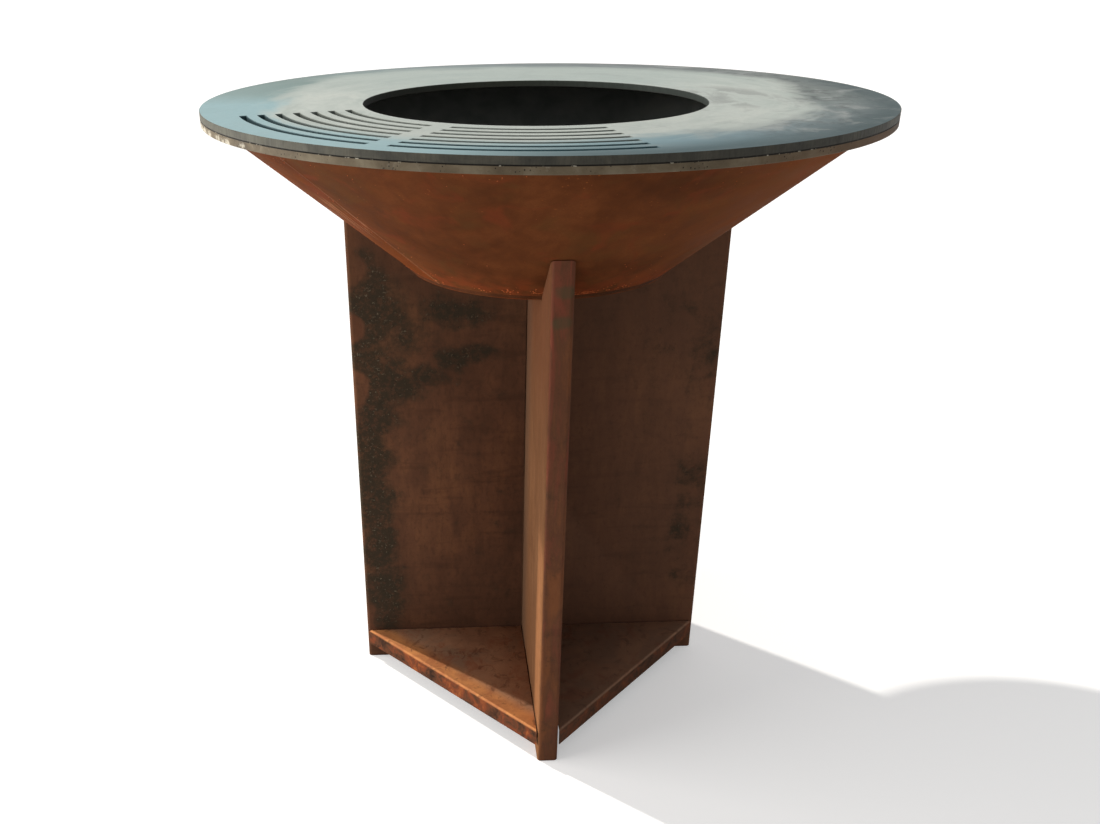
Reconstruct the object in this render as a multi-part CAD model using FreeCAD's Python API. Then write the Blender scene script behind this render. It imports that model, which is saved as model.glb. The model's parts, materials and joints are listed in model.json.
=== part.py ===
import FreeCAD, Part
import math
import os

from FreeCAD import Vector

# Brazier barbecue: a round griddle plate with an off-centre fire hole rests on the rim ring of a
# conical fire bowl. The bowl sits in a cradle cut into a stand of two hollow panels that cross in a
# halving joint. Four triangular shelves lie on ledges between the panels and hold the firewood.
# Millimetres, Z up, origin on the ground under the middle of the stand, front towards -Y.

# Griddle plate
plate_radius = 500.0
plate_thickness = 10.0
hole_radius = 248.0
hole_offset = 47.5          # from the plate's centre to the fire hole's centre
hole_direction = 251.0      # degrees, the way that the hole lies from the plate's centre
slot_axis = 239.5           # degrees, the way that the middle of the slots lies from the hole
slot_count = 7              # rows of slots
slot_width = 9.0
slot_margin = 27.5          # from the hole's edge to the middle of the nearest slot
slot_rim = 28.0             # from the outermost slot to the plate's edge, where it is nearest
slot_bridge = 30.0          # bar left whole between the two groups of slots
slot_spread = 43.5          # degrees from the middle to the outer end of a group

# Lugs under the plate, which keep it centred on the ring
lug_count = 3
lug_length = 40.0
lug_thickness = 8.0
lug_drop = 16.0
lug_clearance = 1.5

# Fire bowl
ring_width = 60.0
ring_thickness = 10.0
bowl_sheet = 3.0
rim_overhang = 22.0         # how far the ring stands out past the cone
cone_foot_radius = 208.0    # outside, on the floor
cone_height = 228.0
floor_thickness = 4.0
floor_inset = 1.0           # how far the floor's edge lies inside the cone's foot
drain_radius = 8.0
drain_distance = 75.0       # from the middle of the floor
drain_direction = 45.0      # degrees, between the panels below
seam_direction = 220.5      # degrees, the front one of the cone's two welded seams
seam_width = 4.0
seam_crown = 0.8            # how far a seam's bead stands proud of the sheet
floor_weld_leg = 3.0        # up the cone and down the floor's edge
stitch_count = 8
stitch_length = 80.0
stitch_leg = 7.0

# Stand
seat_height = 758.0         # top of the panels under the bowl's floor
panel_width = 610.0
panel_thickness = 33.0
panel_sheet = 3.0
panel_bend_radius = 6.0     # outside
cradle_clearance = 1.0      # between the panels' sloping tops and the cone
floor_clearance = 2.0       # between the cradle's steps and the bead round the cone's foot
halving_height = 380.0
halving_clearance = 1.0     # each side

# Shelves
shelf_height = 60.0         # top face
shelf_sheet = 3.0
shelf_bend_radius = 5.0     # outside
shelf_lip = 29.0
shelf_clearance = 2.0       # to the panels
shelf_tip = 303.0           # where a shelf's front edge meets the face of a panel
ledge_leg = 25.0
ledge_sheet = 3.0
ledge_length = 140.0
ledge_distance = 150.0      # from the middle of the stand to the middle of a ledge

# Heights and radii that follow
floor_top = seat_height + floor_thickness
ring_bottom = floor_top + cone_height
plate_bottom = ring_bottom + ring_thickness
ring_inner_radius = plate_radius - ring_width
slot_reach = plate_radius - hole_offset - hole_radius - slot_margin - slot_width / 2.0 - slot_rim
slot_pitch = slot_reach / (slot_count - 1)
cone_top_radius = plate_radius - rim_overhang
floor_radius = cone_foot_radius - floor_inset
cone_run = (cone_top_radius - cone_foot_radius) / cone_height
wall_run = bowl_sheet * math.hypot(1.0, cone_run)
weld_top = floor_top + floor_weld_leg
weld_radius = cone_foot_radius + floor_weld_leg * cone_run
panel_face = panel_thickness / 2.0
middle = Vector(0, 0, 0)
up = Vector(0, 0, 1)


def polar(radius, degrees, z=0.0):
    """A point at a distance and a direction from the vertical axis."""
    angle = math.radians(degrees)
    return Vector(radius * math.cos(angle), radius * math.sin(angle), z)


def turned(shape, degrees):
    """A copy of the shape, turned about the vertical axis."""
    copy = shape.copy()
    copy.rotate(middle, up, degrees)
    return copy


def disc(radius, thickness, z, centre=middle):
    """A round plate with its underside at height z."""
    return Part.makeCylinder(radius, thickness, centre + Vector(0, 0, z))


def revolved(section, degrees=360.0):
    """Turn a closed outline of (radius, height) points about the vertical axis."""
    points = [Vector(r, 0, z) for r, z in section]
    face = Part.Face(Part.makePolygon(points + points[:1]))
    return face.revolve(middle, up, degrees)


def extruded(points, way):
    """Extrude a closed outline of points along a vector."""
    return Part.Face(Part.makePolygon(points + points[:1])).extrude(way)


def slot_edge(radius, start, end):
    """One long edge of a slot: an arc about the fire hole's axis."""
    halfway = (start + end) / 2.0
    return Part.Arc(polar(radius, start), polar(radius, halfway), polar(radius, end)).toShape()


def slot(row, side):
    """One curved slot: square to the bridge at one end, radial at the other."""
    mid_radius = hole_radius + slot_margin + row * slot_pitch
    inner = mid_radius - slot_width / 2.0
    outer = mid_radius + slot_width / 2.0
    inner_start = side * math.degrees(math.asin(slot_bridge / 2.0 / inner))
    outer_start = side * math.degrees(math.asin(slot_bridge / 2.0 / outer))
    end = side * slot_spread
    edges = [
        slot_edge(inner, inner_start, end),
        Part.LineSegment(polar(inner, end), polar(outer, end)).toShape(),
        slot_edge(outer, end, outer_start),
        Part.LineSegment(polar(outer, outer_start), polar(inner, inner_start)).toShape(),
    ]
    face = Part.Face(Part.Wire(edges))
    face.rotate(middle, up, slot_axis)
    face.translate(polar(hole_offset, hole_direction, plate_bottom))
    return face.extrude(Vector(0, 0, plate_thickness))


def griddle_plate():
    """The flat cooking plate with its fire hole and two groups of slots."""
    plate = disc(plate_radius, plate_thickness, plate_bottom)
    hole = disc(hole_radius, plate_thickness, plate_bottom, polar(hole_offset, hole_direction))
    slots = [slot(row, side) for row in range(slot_count) for side in (-1, 1)]
    return plate.cut([hole] + slots)


def griddle_lugs():
    """Bars welded under the plate, just inside the rim ring."""
    half = lug_length / 2.0
    outer = math.sqrt((ring_inner_radius - lug_clearance) ** 2 - half ** 2)
    corner = Vector(outer - lug_thickness, -half, plate_bottom - lug_drop)
    bar = Part.makeBox(lug_thickness, lug_length, lug_drop, corner)
    step = 360.0 / lug_count
    return [turned(bar, slot_axis + step * (n + 0.5)) for n in range(lug_count)]


def rim_ring():
    """The flat ring on top of the cone that the plate rests on."""
    ring = disc(plate_radius, ring_thickness, ring_bottom)
    return ring.cut(disc(ring_inner_radius, ring_thickness, ring_bottom))


def cone_section(crown=0.0):
    """Outline of the cone's wall, thickened outwards by a crown."""
    crown_run = crown * math.hypot(1.0, cone_run)
    return [
        (cone_foot_radius - wall_run, floor_top),
        (cone_foot_radius + crown_run, floor_top),
        (cone_top_radius + crown_run, ring_bottom),
        (cone_top_radius - wall_run, ring_bottom),
    ]


def seam_slab(section):
    """The section as a straight bar as wide as a seam, in the direction of the front seam."""
    points = [Vector(r, -seam_width / 2.0, z) for r, z in section]
    return turned(extruded(points, Vector(0, seam_width, 0)), seam_direction)


def cone_half(start):
    """Half of the rolled cone, with room for the seams at both ends."""
    half = turned(revolved(cone_section(), 180.0), start)
    room = seam_slab(cone_section(seam_crown))
    return half.cut([room, turned(room, 180.0)])


def cone_seams():
    """The two weld beads that join the halves of the cone, crowned outside."""
    bead = seam_slab(cone_section(seam_crown))
    ends_clear = revolved([
        (cone_foot_radius - wall_run - seam_width, floor_top),
        (cone_foot_radius, floor_top),
        (weld_radius, weld_top),
        (plate_radius, weld_top),
        (plate_radius, ring_bottom),
        (cone_top_radius - wall_run - seam_width, ring_bottom),
    ])
    bead = bead.common(ends_clear)
    return [bead, turned(bead, 180.0)]


def bowl_floor():
    """The floor disc, with a drain hole clear of the panels below."""
    floor = disc(floor_radius, floor_thickness, seat_height)
    drain_place = polar(drain_distance, drain_direction)
    return floor.cut(disc(drain_radius, floor_thickness, seat_height, drain_place))


def floor_weld():
    """The bead in the corner between the floor's edge and the cone's foot."""
    return revolved([
        (floor_radius, floor_top - floor_weld_leg),
        (weld_radius, weld_top),
        (cone_foot_radius, floor_top),
        (floor_radius, floor_top),
    ])


def rim_stitches():
    """Short welds inside, between the cone and the underside of the ring."""
    inside = cone_top_radius - wall_run
    stitch = revolved([
        (inside, ring_bottom),
        (inside - stitch_leg * cone_run, ring_bottom - stitch_leg),
        (inside - stitch_leg * cone_run, ring_bottom),
    ], math.degrees(stitch_length / inside))
    step = 360.0 / stitch_count
    return [turned(stitch, seam_direction + step * (n + 0.5)) for n in range(stitch_count)]


def rounded_slab(width, thickness, radius, height):
    """An upright slab along X with its four upright edges rounded."""
    slab = Part.makeBox(width, thickness, height, Vector(-width / 2.0, -thickness / 2.0, 0))
    upright = [edge for edge in slab.Edges if abs(edge.tangentAt(edge.FirstParameter).z) > 0.5]
    return slab.makeFillet(radius, upright)


def panel_top():
    """Height of a panel's outer top corners, under the cone."""
    return floor_top + (panel_width / 2.0 - cradle_run() - cone_foot_radius) / cone_run


def cradle_run():
    """The cradle's clearance to the cone, measured level."""
    return cradle_clearance * math.hypot(1.0, cone_run)


def cradle():
    """What is cut from a panel's top, so that the bowl sits in it."""
    step = weld_radius + floor_clearance
    step_top = floor_top + (step - cradle_run() - cone_foot_radius) / cone_run
    end = panel_width / 2.0
    right = [(step, seat_height), (step, step_top), (end, panel_top())]
    left = [(-x, z) for x, z in reversed(right)]
    points = [Vector(x, -panel_face, z) for x, z in left + right]
    return extruded(points, Vector(0, panel_thickness, 0))


def sleeve():
    """A panel along X: a folded sheet, open above and below, with the bowl's cradle at its top."""
    inner_width = panel_width - 2.0 * panel_sheet
    inner_thickness = panel_thickness - 2.0 * panel_sheet
    inner_radius = panel_bend_radius - panel_sheet
    outside = rounded_slab(panel_width, panel_thickness, panel_bend_radius, panel_top())
    inside = rounded_slab(inner_width, inner_thickness, inner_radius, panel_top())
    return outside.cut([inside, cradle()])


def halving_slot(bottom, top):
    """The gap in the middle of a panel that the other panel passes through."""
    width = panel_thickness + 2.0 * halving_clearance
    return Part.makeBox(width, panel_thickness, top - bottom, Vector(-width / 2.0, -panel_face, bottom))


def side_panel():
    """The panel from left to right, slotted from above."""
    return sleeve().cut(halving_slot(halving_height, seat_height))


def main_panel():
    """The panel from front to back, slotted from below."""
    return turned(sleeve().cut(halving_slot(0.0, halving_height)), 90.0)


def panel_ledges(direction):
    """Four angle strips on the two faces of one panel, two a side, with a level leg on top."""
    top = shelf_height - shelf_sheet
    section = [
        (panel_face, top - ledge_leg),
        (panel_face + ledge_sheet, top - ledge_leg),
        (panel_face + ledge_sheet, top - ledge_sheet),
        (panel_face + ledge_leg, top - ledge_sheet),
        (panel_face + ledge_leg, top),
        (panel_face, top),
    ]
    start = ledge_distance - ledge_length / 2.0
    ledges = []
    for side in (-1, 1):
        for end in (-1, 1):
            points = [Vector(end * start, side * y, z) for y, z in section]
            strip = extruded(points, Vector(end * ledge_length, 0, 0))
            ledges.append(turned(strip, direction))
    return ledges


def shelf(quarter):
    """A triangular shelf between two panels, its front edge folded down into a lip."""
    corner = panel_face + shelf_clearance
    front = (shelf_tip + corner) / math.sqrt(2.0)
    inner_radius = shelf_bend_radius - shelf_sheet
    bottom = shelf_height - shelf_lip
    under = shelf_height - shelf_sheet
    back = front - shelf_sheet
    bend = Vector(front - shelf_bend_radius, 0, shelf_height - shelf_bend_radius)
    slant = math.sqrt(0.5)

    def line(start, end):
        return Part.LineSegment(Vector(*start), Vector(*end)).toShape()

    def arc(radius):
        mid = bend + Vector(radius * slant, 0, radius * slant)
        return Part.Arc(bend + Vector(0, 0, radius), mid, bend + Vector(radius, 0, 0)).toShape()

    edges = [
        line((0, 0, under), (0, 0, shelf_height)),
        line((0, 0, shelf_height), (bend.x, 0, shelf_height)),
        arc(shelf_bend_radius),
        line((front, 0, bend.z), (front, 0, bottom)),
        line((front, 0, bottom), (back, 0, bottom)),
        line((back, 0, bottom), (back, 0, bend.z)),
        arc(inner_radius),
        line((bend.x, 0, under), (0, 0, under)),
    ]
    section = Part.Face(Part.Wire(Part.__sortEdges__(edges)))
    section.translate(Vector(0, -shelf_tip, 0))
    folded = section.extrude(Vector(0, 2.0 * shelf_tip, 0))
    bay = Part.makeBox(shelf_tip, shelf_tip, shelf_height, Vector(corner, corner, 0))
    return turned(turned(folded, 45.0).common(bay), 90.0 * quarter)


def export(name, pieces):
    """Write one node: a single solid, or a group of separate solids."""
    shape = Part.makeCompound(pieces) if isinstance(pieces, list) else pieces
    shape.exportStep(os.path.join("parts", name + ".step"))


os.makedirs("parts", exist_ok=True)
export("griddle_plate", griddle_plate())
export("griddle_lugs", griddle_lugs())
export("rim_ring", rim_ring())
export("cone_front_half", cone_half(seam_direction))
export("cone_rear_half", cone_half(seam_direction + 180.0))
export("cone_seam_welds", cone_seams())
export("rim_stitch_welds", rim_stitches())
export("bowl_floor", bowl_floor())
export("floor_weld", floor_weld())
export("side_panel", side_panel())
export("main_panel", main_panel())
export("side_panel_ledges", panel_ledges(0.0))
export("main_panel_ledges", panel_ledges(90.0))
for quarter, place in enumerate(("back_right", "back_left", "front_left", "front_right")):
    export("shelf_" + place, shelf(quarter))
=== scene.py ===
import json
import math
import random

import bmesh
import bpy
from mathutils import Matrix, Vector, noise


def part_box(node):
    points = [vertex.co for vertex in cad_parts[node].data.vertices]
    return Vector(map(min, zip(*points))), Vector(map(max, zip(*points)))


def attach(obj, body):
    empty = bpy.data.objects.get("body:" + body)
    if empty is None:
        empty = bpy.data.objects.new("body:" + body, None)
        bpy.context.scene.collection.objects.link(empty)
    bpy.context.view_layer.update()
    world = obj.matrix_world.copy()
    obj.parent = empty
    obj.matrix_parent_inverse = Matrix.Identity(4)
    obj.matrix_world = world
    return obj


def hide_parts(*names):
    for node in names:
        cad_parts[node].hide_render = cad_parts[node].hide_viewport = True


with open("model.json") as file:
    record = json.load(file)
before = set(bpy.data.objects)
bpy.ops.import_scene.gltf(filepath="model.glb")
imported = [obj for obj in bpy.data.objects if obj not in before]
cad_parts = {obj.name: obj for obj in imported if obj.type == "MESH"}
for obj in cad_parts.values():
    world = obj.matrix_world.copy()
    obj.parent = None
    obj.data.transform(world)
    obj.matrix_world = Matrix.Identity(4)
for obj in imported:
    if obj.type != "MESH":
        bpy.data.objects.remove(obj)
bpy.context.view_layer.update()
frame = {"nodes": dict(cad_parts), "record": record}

# The brazier barbecue, dressed: a seasoned griddle plate on a rusted fire bowl, in a stand of two
# crossed panels with firewood shelves. Metres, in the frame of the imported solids.


# Sizes, read from the frame

def lowest(node):
    """The low corner of a solid's box."""
    return Vector(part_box(node)[0])


def highest(node):
    """The high corner of a solid's box."""
    return Vector(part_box(node)[1])


hair = 0.00002              # keeps the dressing inside the solids' box
fire_hole = next(mount for mount in frame["record"]["mounts"] if mount["name"] == "fire_hole")
hole_radius = fire_hole["dims"]["r_mm"] / 1000.0
hole_middle = Vector((fire_hole["pos_m"][0], fire_hole["pos_m"][1], 0.0))
plate_radius = -lowest("griddle_plate").x - hair
plate_top = highest("griddle_plate").z
plate_bottom = lowest("griddle_plate").z
ring_bottom = lowest("rim_ring").z
floor_top = highest("bowl_floor").z
floor_radius = highest("bowl_floor").y
tray_top = highest("shelf_front_left").z
cone_top_radius = -lowest("cone_front_half").y

# Sizes of this dressing, as in the solids
slot_count = 7
slot_width = 0.009
slot_axis = math.radians(239.5)
slot_margin = 0.0275        # from the hole's edge to the middle of the nearest slot
slot_rim = 0.028            # from the outermost slot to the plate's edge
slot_bridge = 0.030
slot_spread = math.radians(43.5)
ring_width = 0.060
floor_inset = 0.001
bowl_sheet = 0.003
seam_direction = math.radians(220.5)
seam_width = 0.004
seam_crown = 0.0008
foot_bead_leg = 0.003       # up the cone and down the floor's edge

# The weld beads' ripples, which the solids leave out
seam_half_width = 0.0042
seam_pitch = 0.005
seam_ends = 0.001           # bare at both ends together
foot_bead_face = [(0.0, 0.0), (0.2, 0.0006), (0.5, 0.0009), (0.8, 0.0006), (1.0, 0.0)]  # part of the way, bulge
foot_bead_root = 0.0006     # sunk into the metal behind
foot_bead_proud = 0.0003    # what stands out more than this is uneven
foot_bead_uneven = 0.0012
foot_bead_pitch = 0.0055

# Drops of weld metal on the cone: how many, and how large
foot_clusters = 64
foot_drops = 120
rim_drops = 90
seam_drops = 24
cluster_size = (0.0007, 0.0018)
drop_size = (0.0005, 0.0012)
seam_drop_size = (0.0005, 0.0011)
cluster_direction = math.radians(275.0)
lowest_drop = 0.005         # above the floor

# How far from the hole's middle the plate is burnt pale, by the turn about it from the left by the front
pale_reach = [(0.00, 0.370), (0.03, 0.378), (0.15, 0.374), (0.25, 0.364), (0.33, 0.352), (0.40, 0.385),
              (0.50, 0.385), (0.57, 0.460), (0.75, 0.475), (0.86, 0.480), (0.90, 0.424), (1.00, 0.370)]

# Where mill scale is left on the panels: across, up, its reach both ways, and how much of it
scale_remains = [
    (-0.271, 0.690, 0.085, 0.11, 1.0), (-0.285, 0.612, 0.070, 0.10, 1.0), (-0.255, 0.561, 0.085, 0.08, 1.0),
    (-0.273, 0.500, 0.070, 0.10, 0.9), (-0.281, 0.420, 0.060, 0.13, 0.9), (-0.281, 0.330, 0.060, 0.13, 1.0),
    (-0.274, 0.240, 0.055, 0.13, 1.0), (-0.268, 0.150, 0.055, 0.12, 1.0), (-0.289, 0.774, 0.050, 0.03, 0.7),
    # The next entry lays the mill-scale tone where the bowl shades the panel: painted shade.
    (-0.215, 0.640, 0.080, 0.06, 0.6),
    (-0.219, 0.549, 0.060, 0.045, 0.9), (-0.186, 0.569, 0.050, 0.032, 0.9), (-0.141, 0.596, 0.050, 0.030, 0.9),
    (-0.095, 0.607, 0.060, 0.028, 0.8), (-0.135, 0.680, 0.090, 0.040, 0.7),
    (0.285, 0.600, 0.050, 0.16, 0.35), (0.285, 0.300, 0.055, 0.22, 0.4)]

# Single marks: where they are, and their reach along each axis
red_remains, red_reach = [(-0.302, 0.755), (-0.304, 0.654), (-0.302, 0.550)], (0.036, 1.0, 0.042)
green_marks, green_reach = [(0.004, 0.800), (0.000, 0.757)], (0.022, 0.02, 0.014)
panel_face = -0.305         # that the green marks are on
grease_place, grease_reach = (0.275, -0.045), (0.09, 0.16, 0.1)
worn_radius, worn_turn, worn_height = 0.345, -0.09, 0.115  # the scratches, about the seam and above the floor
worn_reach = (0.10, 0.08, 0.06)

# Where the finishes change, each from the start of the change to its end
pale_border = (-0.030, 0.030)       # about the reach of the pale zone
border_wiped, border_patched = 0.10, 0.07  # how far wipes and patches push that border
smoked_rim = (0.415, 0.492)         # from the plate's middle
edge_left = (-0.12, -0.46)
ring_right = (0.10, 0.42)
ring_right_end = (0.38, 0.48)
ring_left = (-0.34, -0.47)
ring_chipped = (0.36, 0.22)
bowl_right = (0.08, 0.34)
panel_edge = (0.262, 0.300)         # from the middle of the stand
panel_shadow_high = (0.48, 0.74)
panel_low = (0.34, 0.06)
panel_left = (0.02, -0.02)
panel_lit_right = (0.01, 0.03)
panel_front = (-0.296, -0.303)
shelter_outer, shelter_inner = (-0.019, -0.0175), (-0.0135, -0.0155)  # about the front panel's left face
shelter_front = (0.005, -0.005)
# Below: a painted bowl shadow high on the front panel's left face, then, after its greyer back, a low strip at its
# front that is painted sunlight and partly washed rust.
fin_face_shadow_high = (0.50, 0.72)
shelter_deep = (-0.13, -0.03)
washed_front = (-0.226, -0.262)
washed_low = (0.46, 0.32)
shelf_front = (0.262, 0.300)        # across and deep together
shelf_right = (-0.01, 0.01)

# Sizes that follow
slot_reach = plate_radius - hole_middle.length - hole_radius - slot_margin - slot_width / 2.0 - slot_rim
slot_pitch = slot_reach / (slot_count - 1)
cone_foot_radius = floor_radius + floor_inset
cone_height = ring_bottom - floor_top
cone_run = (cone_top_radius - cone_foot_radius) / cone_height
cone_slant = math.hypot(1.0, cone_run)
wall_run = bowl_sheet * cone_slant

# Fineness of the meshes
plate_ease = 0.0007
sheet_ease = 0.0005
crease_angle = math.radians(32.0)
rim_steps = 240
slot_steps = 18
cone_steps = 96
seam_sides = 10
seam_cuts = 150
foot_bead_steps = 900
same_place = 1e-6           # corners nearer than this are one
flat_angle = math.radians(1.0)  # faces that meet flatter than this are one
level_face = 0.9            # the least rise of a level face's normal
upward_face = 0.3           # the least rise of the normal of a face that looks up


def polar(radius, angle, z=0.0):
    """A place by its distance from the middle, its direction and its height."""
    return Vector((radius * math.cos(angle), radius * math.sin(angle), z))


# Finishes

def seen(red, green, blue):
    """A colour given as it is seen, 0 to 255, as the shader takes it."""
    def linear(part):
        part = part / 255.0
        return part / 12.92 if part <= 0.04045 else ((part + 0.055) / 1.055) ** 2.4
    return (linear(red), linear(green), linear(blue), 1.0)


class Finish:
    """A metal finish, worked up from patterns on the piece's own coordinates."""

    def __init__(self, name, metal, specular):
        self.material = bpy.data.materials.new(name)
        self.material.use_nodes = True
        self.tree = self.material.node_tree
        self.tree.nodes.clear()
        self.place = self.node("ShaderNodeTexCoord").outputs["Object"]
        self.shader = self.node("ShaderNodeBsdfPrincipled", {"Metallic": metal, "Specular IOR Level": specular})
        output = self.node("ShaderNodeOutputMaterial")
        self.tree.links.new(self.shader.outputs["BSDF"], output.inputs["Surface"])

    def node(self, kind, inputs=None, **settings):
        """A node with its inputs joined or set."""
        made = self.tree.nodes.new(kind)
        for key, value in settings.items():
            setattr(made, key, value)
        for key, value in (inputs or {}).items():
            if isinstance(value, bpy.types.NodeSocket):
                self.tree.links.new(value, made.inputs[key])
            else:
                made.inputs[key].default_value = value
        return made

    def moved(self, location=(0, 0, 0), scale=(1, 1, 1), vector=None):
        """Coordinates stretched and shifted."""
        inputs = {"Vector": vector or self.place, "Location": location, "Scale": scale}
        return self.node("ShaderNodeMapping", inputs).outputs["Vector"]

    def from_axis(self, middle=(0, 0, 0)):
        """Distance from the upright line through a place."""
        level = self.moved([-part for part in middle], (1, 1, 0))
        return self.node("ShaderNodeVectorMath", {0: level}, operation="LENGTH").outputs["Value"]

    def parts(self, vector=None):
        """The three coordinates."""
        return self.node("ShaderNodeSeparateXYZ", {0: vector or self.place}).outputs

    def clouds(self, scale, detail=4.0, rough=0.55, warp=0.0, vector=None):
        """Soft patches, from 0 to 1 about a middle of 0.5."""
        inputs = {"Vector": vector or self.place, "Scale": scale, "Detail": detail, "Roughness": rough,
                  "Distortion": warp}
        return self.node("ShaderNodeTexNoise", inputs).outputs["Fac"]

    def stretched(self, scale, detail, rough, warp, vector=None):
        """Soft patches with a scale of their own along each axis."""
        return self.clouds(1.0, detail, rough, warp, self.moved(scale=scale, vector=vector))

    def cells(self, scale):
        """Distance to the nearest of many scattered points."""
        return self.node("ShaderNodeTexVoronoi", {"Vector": self.place, "Scale": scale}).outputs["Distance"]

    def blob(self, middle, reach):
        """1 at a place, falling to 0 at a reach from it along each axis."""
        scale = [1.0 / part for part in reach]
        shift = [-place / part for place, part in zip(middle, reach)]
        near = self.moved(shift, scale)
        return self.node("ShaderNodeTexGradient", {"Vector": near}, gradient_type="SPHERICAL").outputs["Fac"]

    def sum(self, kind, first, second=0.0, third=0.0):
        """One step of arithmetic on up to three values."""
        return self.node("ShaderNodeMath", {0: first, 1: second, 2: third}, operation=kind).outputs[0]

    def times(self, first, second):
        """Two values multiplied."""
        return self.sum("MULTIPLY", first, second)

    def ragged(self, value, pattern, much):
        """A value pushed up and down by a pattern."""
        return self.sum("MULTIPLY_ADD", self.sum("SUBTRACT", pattern, 0.5), much, value)

    def run(self, value, low, high, start=0.0, end=1.0, kind="LINEAR"):
        """A straight run from start to end as the value goes from low to high."""
        inputs = {"Value": value, "From Min": low, "From Max": high, "To Min": start, "To Max": end}
        return self.node("ShaderNodeMapRange", inputs, interpolation_type=kind).outputs["Result"]

    def ease(self, value, low, high, start=0.0, end=1.0):
        """A soft step from start to end as the value goes from low to high."""
        return self.run(value, low, high, start, end, "SMOOTHSTEP")

    def tones(self, value, stops):
        """Colours along a value."""
        ramp = self.node("ShaderNodeValToRGB", {"Fac": value})
        elements = ramp.color_ramp.elements
        while len(elements) < len(stops):
            elements.new(0.5)
        for element, (place, colour) in zip(elements, stops):
            element.position = place
            element.color = colour
        return ramp.outputs["Color"]

    def over(self, amount, under, top):
        """One colour laid over another by an amount."""
        return self.node("ShaderNodeMix", {0: amount, 6: under, 7: top}, data_type="RGBA").outputs[2]

    def laid(self, under, tone, value, low, high, much=1.0):
        """A tone laid over a colour as a value goes from low to high."""
        return self.over(self.ease(value, low, high, 0.0, much), under, tone)

    def bump(self, height, depth, strength):
        """A fine unevenness of the surface."""
        return self.node("ShaderNodeBump", {"Height": height, "Distance": depth,
                                            "Strength": strength}).outputs["Normal"]

    def set(self, colour, rough, normal):
        """Give the patterns to the shader."""
        for key, value in (("Base Color", colour), ("Roughness", rough), ("Normal", normal)):
            self.tree.links.new(value, self.shader.inputs[key])
        return self.material


def griddle_steel():
    """Seasoned rolled steel: pale round the fire hole, blued at the left and front, smoked at the right."""
    f = Finish("griddle_steel", 0.15, 0.1)
    away = f.from_axis(hole_middle)
    level = f.moved(-hole_middle, (1, 1, 0))
    way = f.node("ShaderNodeVectorMath", {0: level}, operation="NORMALIZE").outputs["Vector"]
    x, y, _ = f.parts(way)
    rings = f.node("ShaderNodeCombineXYZ", {"X": f.times(x, 3.0), "Y": f.times(y, 3.0),
                                            "Z": f.times(away, 26.0)}).outputs[0]
    wipes = f.clouds(1.0, 6.0, 0.6, 0.6, rings)
    patches = f.clouds(7.0, 5.0, 0.6, 0.4)
    wisps = f.clouds(11.0, 7.0, 0.62, 1.4)
    turn = f.run(f.sum("ARCTAN2", y, x), -math.pi, math.pi)
    reach = f.tones(turn, [(place, (far, far, far, 1.0)) for place, far in pale_reach])
    spread = f.ragged(f.ragged(f.sum("SUBTRACT", away, reach), wipes, border_wiped), patches, border_patched)
    band = f.ease(spread, *pale_border)
    outer = f.tones(turn, [
        (0.00, seen(148, 178, 183)), (0.14, seen(148, 177, 182)), (0.22, seen(140, 167, 172)),
        (0.31, seen(110, 137, 145)), (0.38, seen(102, 117, 120)), (0.50, seen(111, 120, 117)),
        (0.58, seen(114, 121, 118)), (0.68, seen(110, 117, 118)), (0.82, seen(132, 146, 146)),
        (0.90, seen(121, 141, 138)), (0.96, seen(130, 153, 152)), (1.00, seen(148, 178, 183))])
    smoked = f.ease(x, 0.30, 0.85)
    outer = f.over(f.times(smoked, f.ease(wisps, 0.46, 0.74)), outer, seen(152, 156, 155))
    soot_marks = f.ease(f.clouds(30.0, 9.0, 0.72, 0.7), 0.46, 0.62, 0.0, 0.6)
    outer = f.over(f.times(smoked, soot_marks), outer, seen(64, 70, 70))
    out = f.from_axis()
    rim = f.times(f.ease(out, *smoked_rim), f.ease(f.sum("ADD", x, f.times(y, -0.8)), 0.3, 0.9))
    outer = f.over(f.times(rim, 0.85), outer, seen(47, 66, 69))
    pale = f.tones(wipes, [(0.30, seen(167, 177, 171)), (0.55, seen(187, 194, 188)), (0.75, seen(197, 202, 195))])
    pale = f.laid(pale, seen(166, 171, 166), y, -0.2, -0.9, 0.3)
    pale = f.laid(pale, seen(154, 169, 165), y, 0.2, 0.9, 0.5)
    colour = f.over(band, pale, outer)
    grease = f.blob((*grease_place, plate_top), grease_reach)
    colour = f.over(f.times(f.ease(wipes, 0.46, 0.60), f.ease(grease, 0.05, 0.5, 0.0, 0.7)), colour,
                    seen(139, 144, 141))
    haze = f.times(f.ease(wisps, 0.52, 0.68), f.ease(x, -0.1, 0.8, 0.10, 0.45))
    colour = f.over(haze, colour, seen(145, 151, 148))
    colour = f.laid(colour, seen(112, 114, 114), f.clouds(160.0, 3.0, 0.6), 0.35, 0.75, 0.10)
    rough = f.run(wipes, 0.2, 0.8, 0.50, 0.64)
    fine = f.stretched((60.0, 60.0, 14.0), 2.0, 0.5, 0.0, rings)
    return f.set(colour, rough, f.bump(fine, 0.0001, 0.25))


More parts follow.
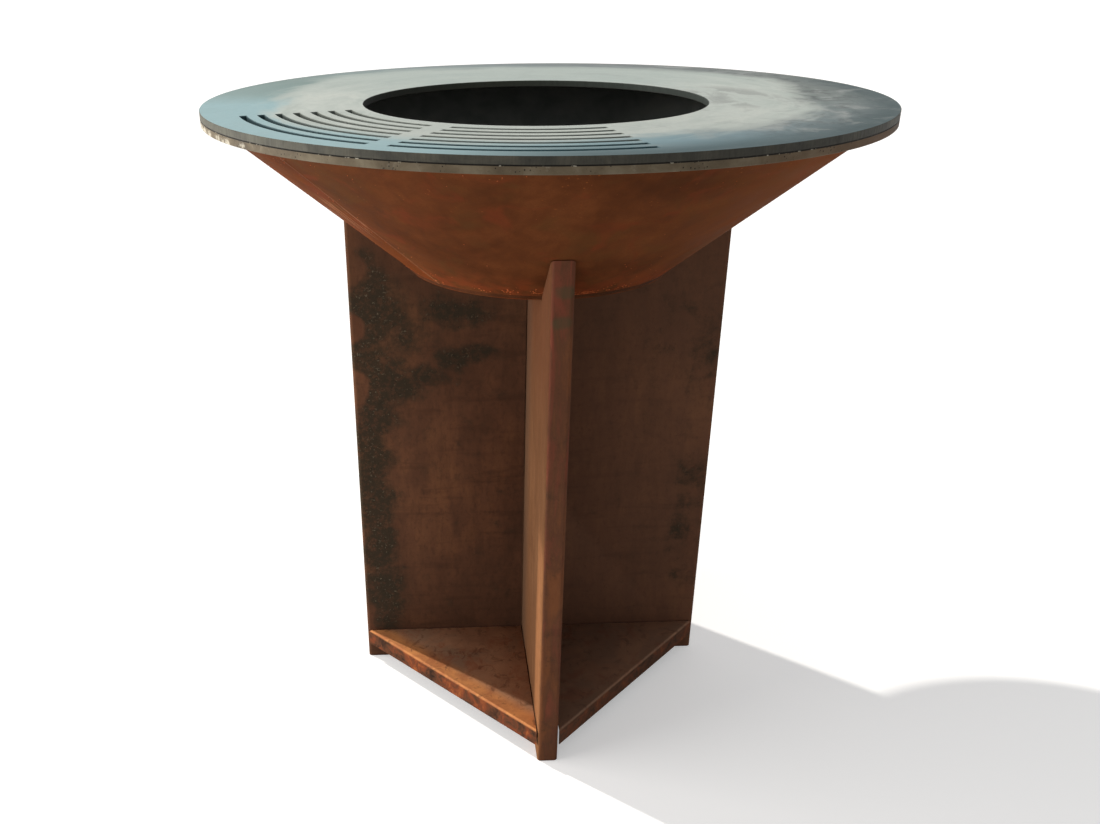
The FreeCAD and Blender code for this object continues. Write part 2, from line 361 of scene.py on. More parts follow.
def cut_edge():
    """The plate's flame-cut edge: dark, paler at the left, with faint upright drag lines; painted light and shade on
    the fire hole's wall, and painted shade along the bottom edge.
    """
    f = Finish("cut_edge", 0.2, 0.2)
    x, _, z = f.parts()
    lines = f.stretched((420.0, 420.0, 60.0), 2.0, 0.5, 0.0)
    patches = f.clouds(20.0, 6.0, 0.65, 0.5)
    colour = f.tones(patches, [(0.32, seen(43, 43, 39)), (0.50, seen(56, 55, 49)), (0.72, seen(78, 74, 64))])
    left = f.times(f.ease(x, *edge_left), f.ease(patches, 0.34, 0.60, 0.35, 1.0))
    colour = f.over(left, colour, seen(78, 77, 67))
    inner = f.from_axis(hole_middle)
    out = f.from_axis()
    slot_tone = f.tones(inner, [(0.355, seen(116, 122, 116)), (0.395, seen(62, 88, 94))])
    colour = f.over(f.ease(out, plate_radius - 0.004, plate_radius - 0.008), colour, slot_tone)
    # Painted light and shade: the fire hole's wall is dark at its left side and lighter towards its right, where the
    # light falls into the hole.
    hole_wall_light_and_shade = f.tones(f.run(x, hole_middle.x - hole_radius, hole_middle.x + hole_radius), [
        (0.05, seen(34, 36, 31)), (0.40, seen(62, 65, 56)), (0.80, seen(64, 70, 65)), (0.96, seen(58, 64, 60))])
    colour = f.over(f.ease(inner, hole_radius + 0.012, hole_radius + 0.004), colour, hole_wall_light_and_shade)
    colour = f.laid(colour, seen(34, 33, 30), lines, 0.40, 0.65, 0.12)
    # Painted shade: a dark line along the bottom edge stands for the shadow in the groove against the ring.
    colour = f.laid(colour, seen(26, 24, 20), z, plate_bottom + 0.0012, plate_bottom + 0.0007)
    return f.set(colour, f.run(lines, 0.2, 0.8, 0.55, 0.75), f.bump(patches, 0.0003, 0.4))


def rim_steel():
    """The ring under the plate: warm grey-brown scale, flaked pale at the left, chipped along its top edge, with
    painted shade on that edge.
    """
    f = Finish("rim_steel", 0.1, 0.15)
    x, _, z = f.parts()
    patches = f.clouds(18.0, 5.0, 0.6, 0.3)
    colour = f.tones(patches, [(0.28, seen(66, 56, 43)), (0.50, seen(92, 82, 66)), (0.75, seen(120, 111, 94))])
    colour = f.laid(colour, seen(84, 58, 38), x, *ring_right, 0.75)
    colour = f.laid(colour, seen(46, 42, 37), x, *ring_right_end, 0.85)
    flaking = f.clouds(34.0, 7.0, 0.70, 0.6)
    low = f.ease(z, ring_bottom + 0.010, ring_bottom + 0.004, 0.35, 1.0)
    left = f.times(f.ease(x, *ring_left), low)
    flakes = f.ease(f.sum("MULTIPLY_ADD", left, 0.16, flaking), 0.58, 0.72)
    flakes = f.times(flakes, f.run(left, 0.0, 0.5, 0.2, 0.9))
    colour = f.over(flakes, colour, seen(186, 180, 164))
    specks = f.ease(f.cells(230.0), 0.26, 0.14)
    specks = f.times(specks, f.ease(f.clouds(40.0), 0.46, 0.58))
    colour = f.over(specks, colour, seen(30, 27, 23))
    # Painted shade: a dark band along the top edge stands for the shadow in the groove where the ring meets the
    # plate. The pale chips in it are real.
    top = f.ease(z, plate_bottom - 0.0011, plate_bottom - 0.0008)
    colour = f.over(top, colour, seen(34, 31, 26))
    chips = f.ease(f.clouds(90.0, 6.0, 0.65), 0.56, 0.66, 0.0, 0.8)
    out = f.from_axis()
    chips = f.times(chips, f.ease(out, plate_radius - 0.003, plate_radius - 0.0015))
    chips = f.times(chips, f.ease(x, *ring_chipped))
    colour = f.over(f.times(top, chips), colour, seen(196, 190, 172))
    return f.set(colour, f.run(patches, 0.2, 0.8, 0.55, 0.8), f.bump(flaking, 0.0004, 0.5))


def rust(name, tones, grain_depth=0.3):
    """Weathering steel: clouded rust with drifts and a fine grain."""
    f = Finish(name, 0.0, 0.03)
    f.broad = f.clouds(5.0, 6.0, 0.6, 0.8)
    f.drift = f.stretched((30.0, 30.0, 9.0), 5.0, 0.6, 0.5)
    f.grain = f.clouds(420.0, 3.0, 0.7)
    colour = f.tones(f.ragged(f.broad, f.drift, 0.6), [(0.28, tones[0]), (0.50, tones[1]), (0.74, tones[2])])
    colour = f.over(f.ease(f.grain, 0.42, 0.72, 0.0, grain_depth), colour, tones[0])
    return f, colour


def set_rust(f, colour):
    """Matt, with the grain standing out."""
    return f.set(colour, f.run(f.drift, 0.2, 0.8, 0.7, 0.92), f.bump(f.grain, 0.0003, 0.5))


def bowl_rust(name, tones, scratched=0.0):
    """The bowl's orange rust: olive and red drifts, specks below the ring, scratches beside the seam."""
    f, colour = rust(name, tones)
    x, y, z = f.parts()
    colour = f.laid(colour, seen(78, 52, 26), f.clouds(10.0, 6.0, 0.6, 0.6), 0.50, 0.66, 0.45)
    colour = f.laid(colour, seen(104, 46, 25), f.clouds(14.0, 5.0, 0.6, 0.8), 0.54, 0.68, 0.45)
    colour = f.laid(colour, seen(120, 66, 31), x, *bowl_right, 0.55)
    foot = f.times(f.ease(z, floor_top + 0.06, floor_top + 0.01), f.ease(f.clouds(30.0, 5.0), 0.40, 0.62))
    colour = f.over(f.times(foot, 0.6), colour, seen(118, 54, 28))
    specks = f.times(f.ease(f.cells(150.0), 0.24, 0.10), f.ease(f.clouds(24.0), 0.52, 0.62))
    high = f.ease(z, ring_bottom - 0.11, ring_bottom - 0.02, 0.0, 0.6)
    colour = f.over(f.times(specks, high), colour, seen(132, 72, 34))
    turn = f.sum("ARCTAN2", y, x)
    grain = f.node("ShaderNodeCombineXYZ", {"X": f.times(turn, 70.0), "Y": f.times(z, 14.0)})
    scratches = f.ease(f.clouds(1.0, 3.0, 0.6, 0.0, grain.outputs[0]), 0.54, 0.62)
    worn = f.blob(polar(worn_radius, seam_direction + worn_turn, floor_top + worn_height), worn_reach)
    worn = f.times(f.ease(worn, 0.1, 0.6), scratched)
    colour = f.over(f.times(scratches, worn), colour, seen(164, 113, 82))
    return set_rust(f, colour)


def soot():
    """Fire-greyed inside of the bowl."""
    f = Finish("soot", 0.0, 0.1)
    patches = f.clouds(16.0, 5.0, 0.6, 0.4)
    colour = f.tones(patches, [(0.30, seen(122, 125, 123)), (0.55, seen(140, 142, 139)), (0.78, seen(154, 151, 145))])
    return f.set(colour, f.run(patches, 0.2, 0.8, 0.75, 0.95), f.bump(patches, 0.0006, 0.4))


def panel_rust():
    """Dark brown rust, with soft remains of black mill scale down the left and reddish edges; painted shadow under
    the bowl, painted shade at the lower left, painted light at the right, and a painted shadow and sunlit strip on
    the front panel's left face.
    """
    f, colour = rust("panel_rust", [seen(82, 56, 42), seen(97, 65, 48), seen(115, 77, 54)], 0.15)
    x, y, z = f.parts()
    streaks = f.stretched((44.0, 44.0, 9.0), 5.0, 0.6, 0.3)
    colour = f.laid(colour, seen(68, 47, 36), streaks, 0.45, 0.70, 0.35)
    bands = f.stretched((8.0, 8.0, 60.0), 4.0, 0.6, 0.3)
    colour = f.laid(colour, seen(62, 43, 33), bands, 0.50, 0.70, 0.35)
    weave = f.stretched((120.0, 120.0, 70.0), 6.0, 0.68, 0.3)
    colour = f.laid(colour, seen(64, 45, 35), weave, 0.48, 0.66, 0.35)
    out = f.sum("MAXIMUM", f.sum("ABSOLUTE", x), f.sum("ABSOLUTE", y))
    edge = f.times(f.ease(out, *panel_edge), f.ease(f.clouds(16.0, 6.0, 0.65, 0.5), 0.44, 0.62, 0.0, 0.5))
    colour = f.over(edge, colour, seen(108, 67, 49))
    # Painted shadow: the panels darken towards the top, under the bowl.
    colour = f.laid(colour, seen(64, 46, 35), z, *panel_shadow_high, 0.45)
    # Painted shade at the lower left and painted light at the right, evening out how the lamps light the two sides.
    painted_shade_left_low = f.times(f.ease(z, *panel_low, 0.0, 0.3), f.ease(x, *panel_left))
    colour = f.over(painted_shade_left_low, colour, seen(62, 44, 34))
    colour = f.laid(colour, seen(108, 78, 62), x, *panel_lit_right, 0.35)
    runs = f.stretched((42.0, 42.0, 7.0), 6.0, 0.65, 0.4)
    face = f.tones(runs, [(0.36, seen(122, 74, 46)), (0.50, seen(92, 59, 43)), (0.64, seen(126, 64, 50))])
    colour = f.laid(colour, face, y, *panel_front, 0.6)
    near = 0.0
    for across, up, width, height, much in scale_remains:
        place = f.blob((across, 0.0, up), (width, 1.0, height))
        near = f.sum("MAXIMUM", near, f.times(place, much))
    for across, up in red_remains:
        place = f.blob((across, 0.0, up), red_reach)
        near = f.sum("SUBTRACT", near, f.ease(place, 0.1, 0.7))
    torn = f.clouds(22.0, 9.0, 0.66, 0.2)
    scale = f.ease(f.ragged(f.times(near, 0.8), torn, 1.5), 0.08, 0.54)
    scale = f.times(scale, f.ease(f.clouds(105.0, 7.0, 0.72), 0.36, 0.54, 0.55, 1.0))
    fin_left_face = f.times(f.ease(x, *shelter_inner), f.ease(x, *shelter_outer))
    fin_left_face = f.times(fin_left_face, f.ease(y, *shelter_front))
    bare = f.sum("SUBTRACT", 1.0, fin_left_face)
    scale = f.times(scale, bare)
    colour = f.over(f.times(scale, 0.90), colour, seen(50, 45, 36))
    flecked = f.times(f.ease(f.clouds(70.0, 6.0, 0.65), 0.46, 0.62), f.run(scale, 0.0, 1.0, 0.25, 1.0))
    dark = f.times(f.ease(f.clouds(190.0, 4.0, 0.65), 0.50, 0.64), f.times(flecked, bare))
    colour = f.over(f.times(dark, 0.6), colour, seen(40, 35, 28))
    pale = f.times(f.ease(f.clouds(260.0, 3.0, 0.6), 0.56, 0.68), f.times(scale, flecked))
    colour = f.over(f.times(pale, 0.75), colour, seen(112, 101, 84))
    for across, up in green_marks:
        place = f.blob((across, panel_face, up), green_reach)
        colour = f.laid(colour, seen(70, 66, 48), f.ragged(place, torn, 1.0), 0.15, 0.6, 0.55)
    fin_left_face_tone = f.tones(f.broad, [(0.30, seen(92, 61, 40)), (0.70, seen(110, 76, 51))])
    # Painted shadow: the face darkens towards the top, under the bowl.
    fin_left_face_tone = f.laid(fin_left_face_tone, seen(86, 52, 34), z, *fin_face_shadow_high, 0.8)
    fin_left_face_tone = f.laid(fin_left_face_tone, seen(84, 68, 56), y, *shelter_deep, 0.45)
    # Painted light: a lighter strip low at the face's front, where sunlight passes the side panel; partly washed rust
    # too.
    washed_and_sunlit = f.times(f.ease(f.ragged(y, f.broad, 0.05), *washed_front), f.ease(z, *washed_low, 0.0, 0.85))
    fin_left_face_tone = f.over(washed_and_sunlit, fin_left_face_tone, seen(136, 92, 60))
    fin_left_face_tone = f.laid(fin_left_face_tone, seen(70, 46, 31), streaks, 0.46, 0.68, 0.22)
    fin_left_face_tone = f.laid(fin_left_face_tone, seen(70, 46, 31), weave, 0.46, 0.66, 0.22)
    colour = f.over(fin_left_face, colour, fin_left_face_tone)
    return set_rust(f, colour)


def shelf_rust():
    """Brown rust with grey and red blotches, orange towards the front edge of the left shelves: partly washed rust,
    partly painted sunlight.
    """
    f, colour = rust("shelf_rust", [seen(154, 113, 87), seen(176, 132, 102), seen(192, 146, 113)])
    x, y, z = f.parts()
    blotches = f.clouds(26.0, 7.0, 0.68, 0.6)
    colour = f.laid(colour, seen(146, 118, 96), f.clouds(11.0, 7.0, 0.65, 0.8), 0.46, 0.62, 0.65)
    colour = f.laid(colour, seen(150, 92, 66), blotches, 0.50, 0.64, 0.55)
    out = f.sum("ADD", f.sum("ABSOLUTE", x), f.sum("ABSOLUTE", y))
    # Painted light: the orange tone along the front edges stands partly for the sunlit wedge there.
    washed_and_sunlit = f.tones(blotches, [(0.40, seen(206, 138, 82)), (0.60, seen(176, 112, 70))])
    pitted = f.ease(f.clouds(46.0, 8.0, 0.72, 0.8), 0.53, 0.64, 0.0, 0.55)
    right = f.ease(x, *shelf_right)
    front = f.times(f.ease(out, *shelf_front, 0.0, 0.85), f.sum("SUBTRACT", 1.0, right))
    colour = f.over(pitted, f.over(front, colour, washed_and_sunlit), seen(98, 70, 54))
    lip = f.ease(z, tray_top - 0.0008, tray_top - 0.0035)
    lip_tone = f.tones(f.clouds(34.0, 7.0, 0.68, 0.6), [(0.37, seen(50, 36, 29)), (0.47, seen(86, 56, 40)),
                                                        (0.57, seen(116, 62, 40)), (0.67, seen(148, 86, 48))])
    colour = f.over(lip, colour, lip_tone)
    colour = f.over(f.times(right, 0.5), colour, f.over(lip, seen(110, 84, 72), seen(84, 62, 50)))
    return set_rust(f, colour)


def weld_metal(name, tones):
    """Rusted weld, with a coarser grain than the sheet."""
    f, colour = rust(name, tones, 0.15)
    return f.set(colour, f.run(f.drift, 0.2, 0.8, 0.5, 0.75), f.bump(f.grain, 0.0005, 0.8))


finish = {
    "griddle": griddle_steel(), "cut_edge": cut_edge(), "rim": rim_steel(),
    "bowl_front": bowl_rust("bowl_rust", [seen(69, 37, 18), seen(86, 47, 24), seen(102, 58, 31)]),
    # Painted light: the rear half's rust is a paler, warmer copy of the front's, standing for the light on the strip
    # beside the seam at the left.
    "bowl_rear_lit": bowl_rust("bowl_rust_rear_lit", [seen(72, 35, 13), seen(90, 45, 18), seen(108, 58, 26)], 0.55),
    "soot": soot(), "panel": panel_rust(), "shelf": shelf_rust(),
    "weld": weld_metal("weld_metal", [seen(82, 45, 26), seen(104, 61, 37), seen(134, 86, 57)]),
    "spatter": weld_metal("weld_spatter", [seen(116, 56, 30), seen(154, 78, 44), seen(178, 100, 60)]),
    "bead": weld_metal("rusted_weld", [seen(52, 29, 16), seen(68, 38, 21), seen(86, 49, 29)]),
}


# Making pieces

def piece(name, bm, body, finishes, stands_for=()):
    """Turn a finished mesh into a piece on its body, in place of the solids that it stands for."""
    mesh = bpy.data.meshes.new(name)
    bm.to_mesh(mesh)
    bm.free()
    for key in finishes:
        mesh.materials.append(finish[key])
    mesh.shade_smooth()
    mesh.set_sharp_from_angle(angle=crease_angle)
    made = bpy.data.objects.new(name, mesh)
    bpy.context.scene.collection.objects.link(made)
    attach(made, body)
    if stands_for:
        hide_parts(*stands_for)
    return made


def edges_since(bm, count):
    """The edges made since there were this many."""
    bm.edges.ensure_lookup_table()
    return bm.edges[count:]


def swept(bm, corner, angle, steps):
    """Sweep a corner about the vertical axis and return the corner that it ends on."""
    made = bmesh.ops.spin(bm, geom=[corner], cent=(0, 0, 0), axis=(0, 0, 1), angle=angle, steps=steps)
    return next(part for part in made["geom_last"] if isinstance(part, bmesh.types.BMVert))


def eased_copy(node):
    """A solid's own shape in whole faces, with its sharp edges broken."""
    bm = bmesh.new()
    bm.from_mesh(frame["nodes"][node].data)
    bmesh.ops.remove_doubles(bm, verts=bm.verts, dist=same_place)
    bmesh.ops.dissolve_limit(bm, angle_limit=flat_angle, verts=bm.verts, edges=bm.edges)
    sharp = [edge for edge in bm.edges if edge.calc_face_angle(0.0) > crease_angle]
    bmesh.ops.bevel(bm, geom=sharp, offset=sheet_ease, offset_type="OFFSET", affect="EDGES", segments=1,
                    profile=0.5, material=-1, clamp_overlap=True)
    return bm


def turned_profile(bm, points, start, angle, steps):
    """Spin a closed outline of (radius, height) points about the vertical axis."""
    corners = [bm.verts.new(polar(radius, start, z)) for radius, z in points]
    outline = [bm.edges.new((a, b)) for a, b in zip(corners, corners[1:] + corners[:1])]
    whole = math.isclose(angle, math.tau)
    bmesh.ops.spin(bm, geom=outline, cent=(0, 0, 0), axis=(0, 0, 1), angle=angle, steps=steps, use_merge=whole)
    bmesh.ops.remove_doubles(bm, verts=bm.verts, dist=same_place)


# Griddle plate

def round_outline(bm, radius, middle, z):
    """A circle of edges."""
    count = len(bm.edges)
    bmesh.ops.create_circle(bm, cap_ends=False, segments=rim_steps, radius=radius,
                            matrix=Matrix.Translation((middle.x, middle.y, z)))
    return edges_since(bm, count)


def slot_outline(bm, row, side, grow, z):
    """One slot's outline, grown all round: square to the bridge at one end, radial at the other."""
    count = len(bm.edges)
    middle = hole_radius + slot_margin + row * slot_pitch
    inner = middle - slot_width / 2.0 - grow
    outer = middle + slot_width / 2.0 + grow
    half_bridge = slot_bridge / 2.0 - grow
    end = slot_spread + grow / middle
    inner_start = math.asin(half_bridge / inner)
    outer_start = math.asin(half_bridge / outer)
    first = bm.verts.new(polar(inner, side * inner_start))
    second = swept(bm, first, side * (end - inner_start), slot_steps)
    third = bm.verts.new(polar(outer, side * end))
    last = swept(bm, third, side * (outer_start - end), slot_steps)
    bm.edges.new((second, third))
    bm.edges.new((last, first))
    made = edges_since(bm, count)
    corners = list({corner for edge in made for corner in edge.verts})
    bmesh.ops.rotate(bm, verts=corners, cent=(0, 0, 0), matrix=Matrix.Rotation(slot_axis, 3, "Z"))
    bmesh.ops.translate(bm, verts=corners, vec=hole_middle + Vector((0, 0, z)))
    return made


def griddle_top():
    """The plate with its fire hole and slots, all their edges broken."""
    bm = bmesh.new()
    centre = Vector((0, 0, 0))
    outlines = [lambda grow, z: round_outline(bm, plate_radius - grow, centre, z),
                lambda grow, z: round_outline(bm, hole_radius + grow, hole_middle, z)]
    for row in range(slot_count):
        for side in (-1, 1):
            outlines.append(lambda grow, z, row=row, side=side: slot_outline(bm, row, side, grow, z))
    levels = [(plate_ease, plate_top), (0.0, plate_top - plate_ease), (0.0, plate_bottom + plate_ease),
              (plate_ease, plate_bottom)]
    above, below = [], []
    for outline in outlines:
        loops = [outline(grow, z) for grow, z in levels]
        for upper, lower in zip(loops, loops[1:]):
            bmesh.ops.bridge_loops(bm, edges=upper + lower)
        above += loops[0]
        below += loops[-1]
    bmesh.ops.triangle_fill(bm, use_beauty=True, edges=above, normal=(0, 0, 1))
    bmesh.ops.triangle_fill(bm, use_beauty=True, edges=below, normal=(0, 0, -1))
    bmesh.ops.recalc_face_normals(bm, faces=bm.faces)
    for face in bm.faces:
        if face.normal.z < -level_face:
            face.material_index = 2
        elif face.normal.z < level_face:
            face.material_index = 1
    return piece("griddle_top", bm, "griddle", ["griddle", "cut_edge", "soot"],
                 ["griddle_plate"])


# Fire bowl

def rim_band():
    """The ring that the plate lies on."""
    bm = bmesh.new()
    inner, outer, ease = plate_radius - ring_width, plate_radius, plate_ease
    turned_profile(bm, [
        (inner + ease, ring_bottom), (outer - ease, ring_bottom), (outer, ring_bottom + ease),
        (outer, plate_bottom - ease), (outer - ease, plate_bottom), (inner + ease, plate_bottom),
        (inner, plate_bottom - ease), (inner, ring_bottom + ease)], 0.0, math.tau, rim_steps)
    bmesh.ops.recalc_face_normals(bm, faces=bm.faces)
    return piece("rim_band", bm, "bowl", ["rim"], ["rim_ring"])


def blacken(bm):
    """Give the faces that look up into the fire the second finish."""
    for face in bm.faces:
        if face.normal.z > upward_face:
            face.material_index = 1


def bowl_wall(name, start, outside, stands_for):
    """Half of the rolled cone, rusted outside and blackened inside, trimmed for the seams."""
    bm = bmesh.new()
    turned_profile(bm, [
        (cone_foot_radius - wall_run, floor_top), (cone_foot_radius, floor_top),
        (cone_top_radius, ring_bottom), (cone_top_radius - wall_run, ring_bottom)], start, math.pi, cone_steps)
    away = polar(1.0, start + math.pi / 2.0)
    bmesh.ops.bisect_plane(bm, geom=bm.verts[:] + bm.edges[:] + bm.faces[:], plane_co=away * seam_width / 2.0,
                           plane_no=away, clear_inner=True)
    bmesh.ops.holes_fill(bm, edges=[edge for edge in bm.edges if edge.is_boundary])
    bmesh.ops.recalc_face_normals(bm, faces=bm.faces)
    blacken(bm)
    return piece(name, bm, "bowl", [outside, "soot"], [stands_for])


def bowl_base():
    """The floor of the bowl, blackened on top."""
    bm = eased_copy("bowl_floor")
    bm.normal_update()
    blacken(bm)
    return piece("bowl_base", bm, "bowl", ["bowl_front", "soot"], ["bowl_floor"])


def cone_place(angle, height):
    """A point on the outside of the cone, and the way that the wall faces there."""
    facing = Vector((math.cos(angle), math.sin(angle), -cone_run)) / cone_slant
    return polar(cone_foot_radius + height * cone_run, angle, floor_top + height), facing


def ripple(along, pitch, seed):
    """How full a weld bead is at a distance along it: scalloped, and a little uneven."""
    scallop = abs(math.sin(math.pi * along / pitch))
    return 0.82 + 0.22 * scallop + 0.16 * noise.noise(Vector((along / (3.0 * pitch), seed, 0.0)))


def seam_beads():
    """The beads on the two seams of the cone, scalloped by the weld."""
    bm = bmesh.new()
    length = cone_slant * cone_height - seam_ends
    bmesh.ops.create_cone(bm, cap_ends=True, segments=seam_sides, radius1=1.0, radius2=1.0, depth=length)
    long_edges = [edge for edge in bm.edges if abs(edge.verts[0].co.z - edge.verts[1].co.z) > length / 2.0]
    bmesh.ops.subdivide_edges(bm, edges=long_edges, cuts=seam_cuts, use_grid_fill=True)
    for corner in bm.verts:
        full = ripple(corner.co.z, seam_pitch, 5.0)
        corner.co.x *= seam_half_width * full
        corner.co.y *= (bowl_sheet / 2.0 + seam_crown) * (0.8 + 0.2 * full)
    start, facing = cone_place(seam_direction, 0.0)
    end, facing = cone_place(seam_direction, cone_height)
    along = (end - start).normalized()
    side = facing.cross(along)
    middle = (start + end) / 2.0 - facing * bowl_sheet / 2.0
    turn = Matrix((side, facing, along)).transposed().to_4x4()
    bmesh.ops.transform(bm, matrix=Matrix.Translation(middle) @ turn, verts=bm.verts)
    copy = bmesh.ops.duplicate(bm, geom=bm.verts[:] + bm.edges[:] + bm.faces[:])
    opposite = [part for part in copy["geom"] if isinstance(part, bmesh.types.BMVert)]
    bmesh.ops.rotate(bm, verts=opposite, cent=(0, 0, 0), matrix=Matrix.Rotation(math.pi, 3, "Z"))
    bmesh.ops.recalc_face_normals(bm, faces=bm.faces)
    blacken(bm)
    return piece("seam_beads", bm, "bowl", ["weld", "soot"], ["cone_seam_welds"])


def foot_bead():
    """The rough bead in the corner between the floor's edge and the cone's foot."""
    bm = bmesh.new()
    low = Vector((floor_radius, 0.0, floor_top - foot_bead_leg))
    high = Vector((cone_foot_radius + foot_bead_leg * cone_run, 0.0, floor_top + foot_bead_leg))
    span = high - low
    out = Vector((span.z, 0.0, -span.x)).normalized()
    face = [low + span * part + out * bulge for part, bulge in foot_bead_face]
    back = [(cone_foot_radius - foot_bead_root, floor_top),
            (floor_radius - foot_bead_root, floor_top - foot_bead_leg / 2.0)]
    turned_profile(bm, [(point.x, point.z) for point in face] + back, 0.0, math.tau, foot_bead_steps)
    for corner in bm.verts:
        outward = Vector((corner.co.x, corner.co.y, 0.0))
        proud = (Vector((outward.length, 0.0, corner.co.z)) - low).dot(out)
        if proud > foot_bead_proud:
            along = math.atan2(outward.y, outward.x) * cone_foot_radius
            corner.co += outward.normalized() * foot_bead_uneven * (ripple(along, foot_bead_pitch, 2.0) - 1.0)
    bmesh.ops.recalc_face_normals(bm, faces=bm.faces)
    return piece("foot_bead", bm, "bowl", ["bead"], ["floor_weld"])


def weld_spatter():
    """Drops of weld metal stuck to the cone above its foot, along its seams and under the ring."""
    chance = random.Random(11)
    bm = bmesh.new()

    def drop(angle, height, size):
        """One flat drop on the wall."""
        point, facing = cone_place(angle, height)
        turn = facing.to_track_quat("Z", "Y").to_matrix().to_4x4()
        flat = Matrix.Diagonal((1.0, chance.uniform(0.6, 1.0), 0.6, 1.0))
        bmesh.ops.create_icosphere(bm, subdivisions=1, radius=size, matrix=Matrix.Translation(point) @ turn @ flat)

    for number in range(foot_clusters):
        middle = chance.gauss(cluster_direction, 0.25) if number % 2 else chance.uniform(0.0, math.tau)
        level = 0.009 + 0.004 * noise.noise(polar(2.0, middle))
        for _ in range(chance.randint(4, 8) if number % 2 else chance.randint(1, 3)):
            drop(middle + chance.gauss(0.0, 0.022), max(lowest_drop, level + chance.gauss(0.0, 0.003)),
                 chance.uniform(*cluster_size))
    for _ in range(foot_drops):
        drop(chance.uniform(0.0, math.tau), lowest_drop + min(chance.expovariate(1.0 / 0.03), 0.15),
             chance.uniform(*drop_size))
    for _ in range(rim_drops):
        drop(chance.uniform(0.0, math.tau), cone_height - 0.003 - min(chance.expovariate(1.0 / 0.02), 0.15),
             chance.uniform(*drop_size))
    for angle in (seam_direction, seam_direction + math.pi):
        for _ in range(seam_drops):
            height = chance.uniform(0.02, cone_height - 0.01)
            radius = cone_foot_radius + height * cone_run
            drop(angle + chance.choice((-1, 1)) * (0.004 + chance.expovariate(1.0 / 0.006)) / radius, height,
                 chance.uniform(*seam_drop_size))
    return piece("weld_spatter", bm, "bowl", ["spatter"])


griddle_top()
rim_band()
seam_beads()
foot_bead()
weld_spatter()
bowl_wall("bowl_wall_front", seam_direction, "bowl_front", "cone_front_half")
bowl_wall("bowl_wall_rear", seam_direction + math.pi, "bowl_rear_lit", "cone_rear_half")
bowl_base()
piece("stitch_beads", eased_copy("rim_stitch_welds"), "bowl", ["bead"], ["rim_stitch_welds"])
piece("side_sleeve", eased_copy("side_panel"), "stand", ["panel"], ["side_panel"])
piece("main_sleeve", eased_copy("main_panel"), "stand", ["panel"], ["main_panel"])
for place in ("front_left", "front_right", "back_left", "back_right"):
    node = "shelf_" + place
    piece("tray_" + place, eased_copy(node), node + "_body", ["shelf"], [node])
for node, key in (("griddle_lugs", "cut_edge"), ("side_panel_ledges", "panel"), ("main_panel_ledges", "panel")):
    frame["nodes"][node].data.materials[0] = finish[key]


# Floor, light and camera

floor_reach = 60.0
floor_glow = 0.35           # only as it is shown
sky_light = 0.40            # on the object; shown, it is white
stage_middle = Vector((0.0, 0.0, 0.5))
picture_width = 1100.0      # in pixels, as are the next two
focal_length = 1006.96
picture_shift = (93.23, 6.98)
camera_place = (-0.17407, -1.56700, 1.20160)
camera_pan = -0.0262
camera_dip = 0.431
camera_roll = -0.0135


def shown_rays(tree):
    """1 for what the camera sees, directly, mirrored or through glass, and 0 for light on the object."""
    path = tree.nodes.new("ShaderNodeLightPath")
    shown = path.outputs["Is Camera Ray"]
    for ray in ("Is Glossy Ray", "Is Transmission Ray"):
        either = tree.nodes.new("ShaderNodeMath")
        either.operation = "MAXIMUM"
        tree.links.new(shown, either.inputs[0])
        tree.links.new(path.outputs[ray], either.inputs[1])
        shown = either.outputs[0]
    return shown


def studio_floor():
    """A wide pale floor that keeps the object's shadow."""
    mesh = bpy.data.meshes.new("studio_floor")
    bm = bmesh.new()
    bmesh.ops.create_grid(bm, x_segments=1, y_segments=1, size=floor_reach)
    bm.to_mesh(mesh)
    bm.free()
    floor = bpy.data.objects.new("studio_floor", mesh)
    bpy.context.scene.collection.objects.link(floor)
    material = bpy.data.materials.new("pale_floor")
    material.use_nodes = True
    tree = material.node_tree
    shader = tree.nodes["Principled BSDF"]
    shader.inputs["Base Color"].default_value = (0.82, 0.82, 0.82, 1.0)
    shader.inputs["Roughness"].default_value = 0.9
    shader.inputs["Emission Color"].default_value = (1.0, 1.0, 1.0, 1.0)
    glow = tree.nodes.new("ShaderNodeMath")
    glow.operation = "MULTIPLY"
    glow.inputs[1].default_value = floor_glow
    tree.links.new(shown_rays(tree), glow.inputs[0])
    tree.links.new(glow.outputs[0], shader.inputs["Emission Strength"])
    mesh.materials.append(material)


def place_lamp(lamp, direction, height, distance):
    """Put a lamp round the object, turned to its middle."""
    source = polar(math.cos(height), direction, math.sin(height))
    made = bpy.data.objects.new(lamp.name, lamp)
    turn = source.to_track_quat("Z", "Y").to_matrix().to_4x4()
    made.matrix_world = Matrix.Translation(stage_middle + source * distance) @ turn
    bpy.context.scene.collection.objects.link(made)


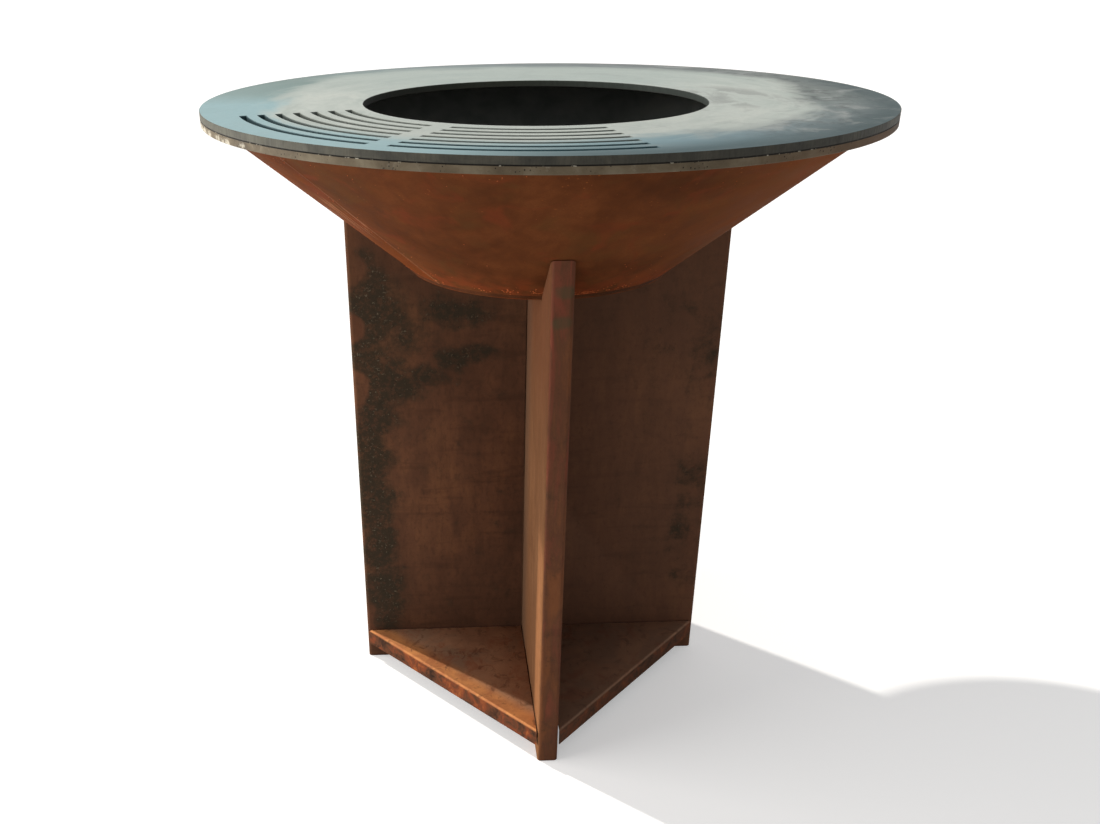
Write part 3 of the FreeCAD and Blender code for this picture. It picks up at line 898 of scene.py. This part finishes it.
def studio_light():
    """White surroundings, a key lamp from behind at the left, and a soft lamp low at the left."""
    world = bpy.data.worlds.new("studio")
    bpy.context.scene.world = world
    world.use_nodes = True
    tree = world.node_tree
    tree.nodes.clear()
    strength = tree.nodes.new("ShaderNodeMapRange")
    strength.inputs["To Min"].default_value = sky_light
    strength.inputs["To Max"].default_value = 1.0
    tree.links.new(shown_rays(tree), strength.inputs["Value"])
    sky = tree.nodes.new("ShaderNodeBackground")
    sky.inputs["Color"].default_value = (1.0, 1.0, 1.0, 1.0)
    tree.links.new(strength.outputs["Result"], sky.inputs["Strength"])
    output = tree.nodes.new("ShaderNodeOutputWorld")
    tree.links.new(sky.outputs[0], output.inputs["Surface"])

    sun = bpy.data.lights.new("key_lamp", "SUN")
    sun.energy = 2.4
    sun.angle = math.radians(1.0)
    sun.color = (1.0, 0.95, 0.88)
    place_lamp(sun, direction=math.radians(141.5), height=math.radians(44.2), distance=5.0)

    box = bpy.data.lights.new("left_softbox", "AREA")
    box.shape = "RECTANGLE"
    box.size = 2.6
    box.size_y = 1.6
    box.energy = 110.0
    box.color = (1.0, 0.97, 0.93)
    place_lamp(box, direction=math.radians(186.0), height=math.radians(8.0), distance=3.2)


def photo_camera():
    """The camera, fitted to the photograph."""
    lens = bpy.data.cameras.new("camera")
    lens.sensor_fit = "HORIZONTAL"
    lens.sensor_width = 36.0
    lens.lens = focal_length / picture_width * lens.sensor_width
    lens.shift_x = picture_shift[0] / picture_width
    lens.shift_y = picture_shift[1] / picture_width
    lens.clip_end = 200.0
    camera = bpy.data.objects.new("camera", lens)
    turn = (Matrix.Rotation(camera_pan, 4, "Z") @ Matrix.Rotation(math.pi / 2.0 - camera_dip, 4, "X")
            @ Matrix.Rotation(camera_roll, 4, "Z"))
    camera.matrix_world = Matrix.Translation(camera_place) @ turn
    bpy.context.scene.collection.objects.link(camera)
    bpy.context.scene.camera = camera


studio_floor()
studio_light()
photo_camera()
bpy.context.scene.view_settings.view_transform = "Standard"
